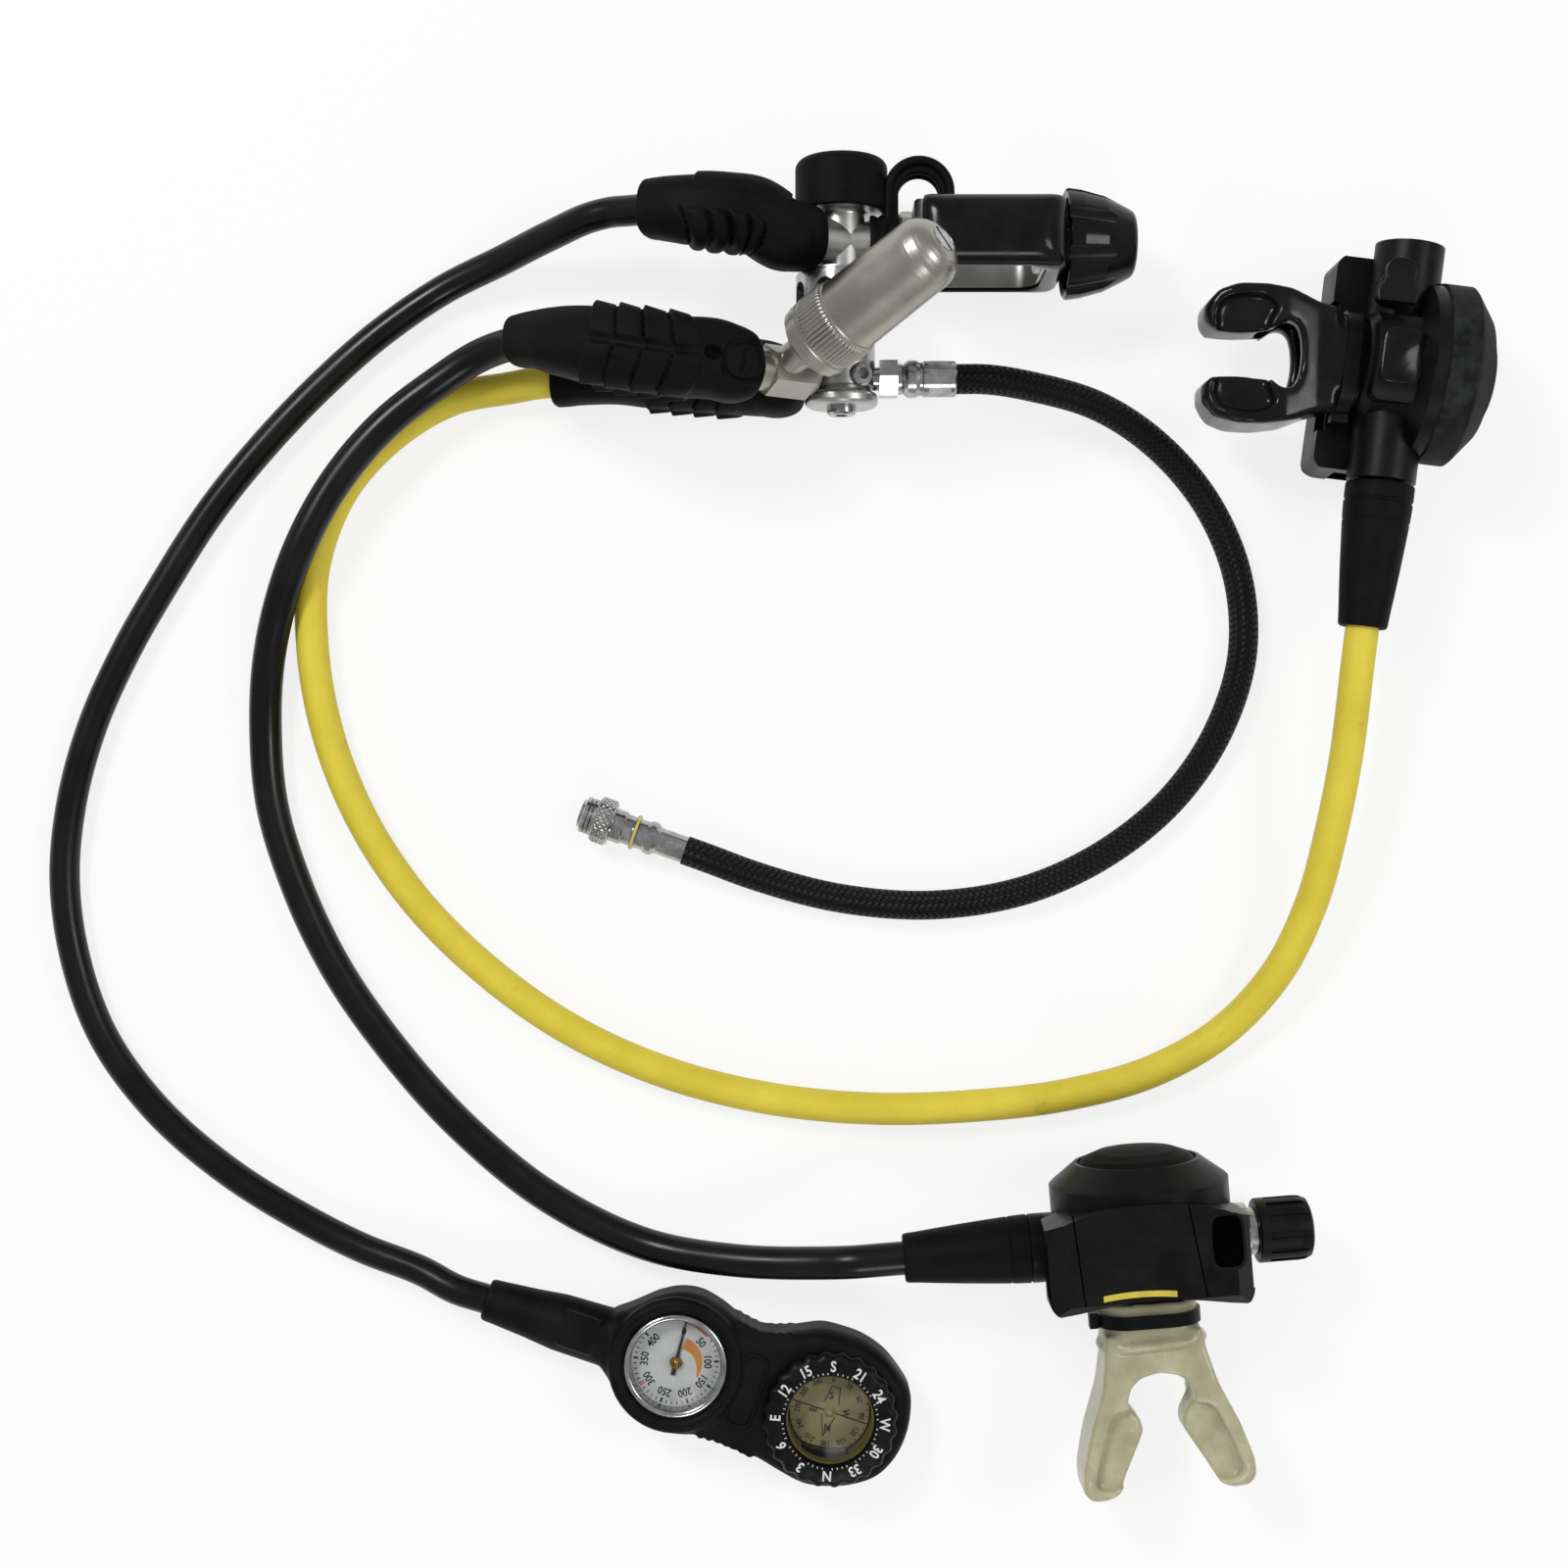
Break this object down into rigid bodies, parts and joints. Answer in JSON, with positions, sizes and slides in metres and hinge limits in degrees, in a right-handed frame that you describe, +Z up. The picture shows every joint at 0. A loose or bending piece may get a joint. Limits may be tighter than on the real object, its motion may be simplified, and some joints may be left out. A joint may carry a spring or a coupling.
{
  "type": "scuba regulator set",
  "caption": "Piston first stage with yoke clamp and humidifier capsule, two second stages on swivelling hoses, gauge and compass console and inflator hose with quick connector",
  "frame": {"origin": "on the table under the middle of the laid-out set without its hoses", "axes": "+Z up from the table; +Y from the console to the first stage; +X from the hoses' loops to the octopus"},
  "size_m": [0.5589, 0.517, 0.1008],
  "materials": {
    "satin_nickel": "satin nickel plate",
    "chrome": "polished chrome plate",
    "steel": "plain stainless steel",
    "brass": "turned brass",
    "black_rubber": "matt moulded rubber",
    "gloss_black": "glossy black coating",
    "black_plastic": "fine satin moulding",
    "braid": "braided jacket",
    "yellow_rubber": "smooth yellow jacket",
    "silicone": "clear silicone, yellowed",
    "membrane": "silicone membrane",
    "dial_white": "printed dial",
    "card_green": "luminous card",
    "needle_black": "painted needle",
    "lens": "clear domed lens"
  },
  "bodies": {
    "regulator": {"first_stage_body": "satin_nickel", "ambient_ring": "chrome", "body_cap": "black_rubber", "main_spring": "steel", "turret": "satin_nickel", "turret_bolt": "chrome", "plugs": "chrome", "yoke_nut": "chrome", "yoke": "satin_nickel", "yoke_sleeve": "gloss_black", "dust_cap": "black_rubber", "adapter": "satin_nickel", "humidifier_base": "satin_nickel", "humidifier_shell": "satin_nickel", "hose_fittings": "chrome", "gauge_hose": "black_rubber", "gauge_protector": "black_rubber", "primary_hose": "black_rubber", "primary_protector": "black_rubber", "primary_sleeve": "black_rubber", "octopus_hose": "yellow_rubber", "octopus_protector": "black_rubber", "octopus_sleeve": "black_rubber", "inflator_hose": "braid", "inflator_fitting": "chrome", "coupling_body": "chrome"},
    "piston": {"piston": "brass"},
    "yoke_screw": {"yoke_screw": "steel"},
    "yoke_knob": {"yoke_knob": "gloss_black"},
    "coupling_collar": {"coupling_collar": "chrome"},
    "primary_stage": {"primary_case": "black_plastic", "primary_cover": "black_plastic", "primary_barrel": "chrome", "primary_tee": "black_plastic", "primary_mouthpiece": "silicone", "primary_tie": "black_plastic"},
    "primary_button": {"primary_button": "black_rubber"},
    "primary_diaphragm": {"primary_diaphragm": "membrane"},
    "primary_lever": {"primary_lever": "steel"},
    "primary_knob": {"primary_knob": "black_plastic"},
    "octopus_stage": {"octopus_case": "black_plastic", "octopus_cover": "black_plastic", "octopus_barrel": "chrome", "octopus_plug": "black_plastic", "octopus_tee": "black_plastic", "octopus_mouthpiece": "gloss_black", "octopus_tie": "black_plastic"},
    "octopus_button": {"octopus_button": "black_rubber"},
    "octopus_diaphragm": {"octopus_diaphragm": "membrane"},
    "octopus_lever": {"octopus_lever": "steel"},
    "venturi_lever": {"venturi_lever": "black_plastic"},
    "console": {"console_boot": "black_rubber", "gauge_case": "chrome", "gauge_dial": "dial_white", "gauge_lens": "lens", "compass_case": "black_plastic", "compass_lens": "lens"},
    "gauge_needle": {"gauge_needle": "needle_black"},
    "compass_card": {"compass_card": "card_green"},
    "compass_bezel": {"compass_bezel": "black_plastic"}
  },
  "joints": [
    {"name": "yoke_screw_travel", "type": "slide", "parent": "regulator", "child": "yoke_screw", "axis": [1, 0, 0], "range_m": [0, 0.01401]},
    {"name": "yoke_knob_turn", "type": "hinge", "parent": "yoke_screw", "child": "yoke_knob", "pos_m": [0.0246, 0.22595, 0.03], "axis": [1, 0, 0], "range_deg": [0, 2520]},
    {"name": "piston_stroke", "type": "slide", "parent": "regulator", "child": "piston", "axis": [0, 1, 0], "range_m": [0, 0.0008], "stiffness_N_per_m": 9000},
    {"name": "primary_swivel", "type": "hinge", "parent": "regulator", "child": "primary_stage", "pos_m": [0.0616, -0.1553, 0.0345], "axis": [-0.9969, -0.0785, 0], "range_deg": [0, 180]},
    {"name": "primary_purge", "type": "slide", "parent": "primary_stage", "child": "primary_button", "axis": [0.0785, -0.9969, 0], "range_m": [0, 0.0025], "stiffness_N_per_m": 900, "springref_m": -0.001},
    {"name": "primary_diaphragm_travel", "type": "slide", "parent": "primary_stage", "child": "primary_diaphragm", "axis": [0.0785, -0.9969, 0], "range_m": [0, 0.0025]},
    {"name": "primary_lever_turn", "type": "hinge", "parent": "primary_stage", "child": "primary_lever", "pos_m": [0.07488, -0.14563, 0.0345], "axis": [0, 0, 1], "range_deg": [0, 8.1]},
    {"name": "primary_adjust", "type": "hinge", "parent": "primary_stage", "child": "primary_knob", "pos_m": [0.11145, -0.15138, 0.0345], "axis": [0.9969, 0.0785, 0], "range_deg": [0, 540]},
    {"name": "octopus_swivel", "type": "hinge", "parent": "regulator", "child": "octopus_stage", "pos_m": [0.1576, 0.1767, 0.036], "axis": [0.1253, 0.9921, 0], "range_deg": [0, 180]},
    {"name": "octopus_purge", "type": "slide", "parent": "octopus_stage", "child": "octopus_button", "axis": [-0.9921, 0.1253, 0], "range_m": [0, 0.0025], "stiffness_N_per_m": 900, "springref_m": -0.001},
    {"name": "octopus_diaphragm_travel", "type": "slide", "parent": "octopus_stage", "child": "octopus_diaphragm", "axis": [-0.9921, 0.1253, 0], "range_m": [0, 0.0025]},
    {"name": "octopus_lever_turn", "type": "hinge", "parent": "octopus_stage", "child": "octopus_lever", "pos_m": [0.16789, 0.18951, 0.036], "axis": [0, 0, -1], "range_deg": [0, 8.1]},
    {"name": "venturi_turn", "type": "hinge", "parent": "octopus_stage", "child": "venturi_lever", "pos_m": [0.15305, 0.20449, 0.057], "axis": [0, 0, 1], "range_deg": [-30, 30]},
    {"name": "console_swivel", "type": "hinge", "parent": "regulator", "child": "console", "pos_m": [-0.1174, -0.2063, 0.013], "axis": [0.9542, -0.299, 0], "range_deg": [0, 180]},
    {"name": "gauge_needle_turn", "type": "hinge", "parent": "console", "child": "gauge_needle", "pos_m": [-0.1174, -0.2063, 0.018], "axis": [0, 0, 1], "range_deg": [-296, 0]},
    {"name": "compass_card_turn", "type": "hinge", "parent": "console", "child": "compass_card", "pos_m": [-0.05766, -0.22629, 0.015], "axis": [0, 0, 1], "continuous": true},
    {"name": "compass_bezel_turn", "type": "hinge", "parent": "console", "child": "compass_bezel", "pos_m": [-0.05766, -0.22629, 0.026], "axis": [0, 0, 1], "continuous": true},
    {"name": "collar_slide", "type": "slide", "parent": "regulator", "child": "coupling_collar", "axis": [0.9415, -0.3371, 0], "range_m": [0, 0.0035], "stiffness_N_per_m": 600, "springref_m": -0.001}
  ],
  "couplings": [
    {"joint": "yoke_screw_travel", "follows": "yoke_knob_turn", "m_per_rad": 0.00031831},
    {"joint": "primary_diaphragm_travel", "follows": "primary_purge", "ratio": 1},
    {"joint": "primary_lever_turn", "follows": "primary_purge", "rad_per_m": 55.556},
    {"joint": "octopus_diaphragm_travel", "follows": "octopus_purge", "ratio": 1},
    {"joint": "octopus_lever_turn", "follows": "octopus_purge", "rad_per_m": 55.556}
  ]
}
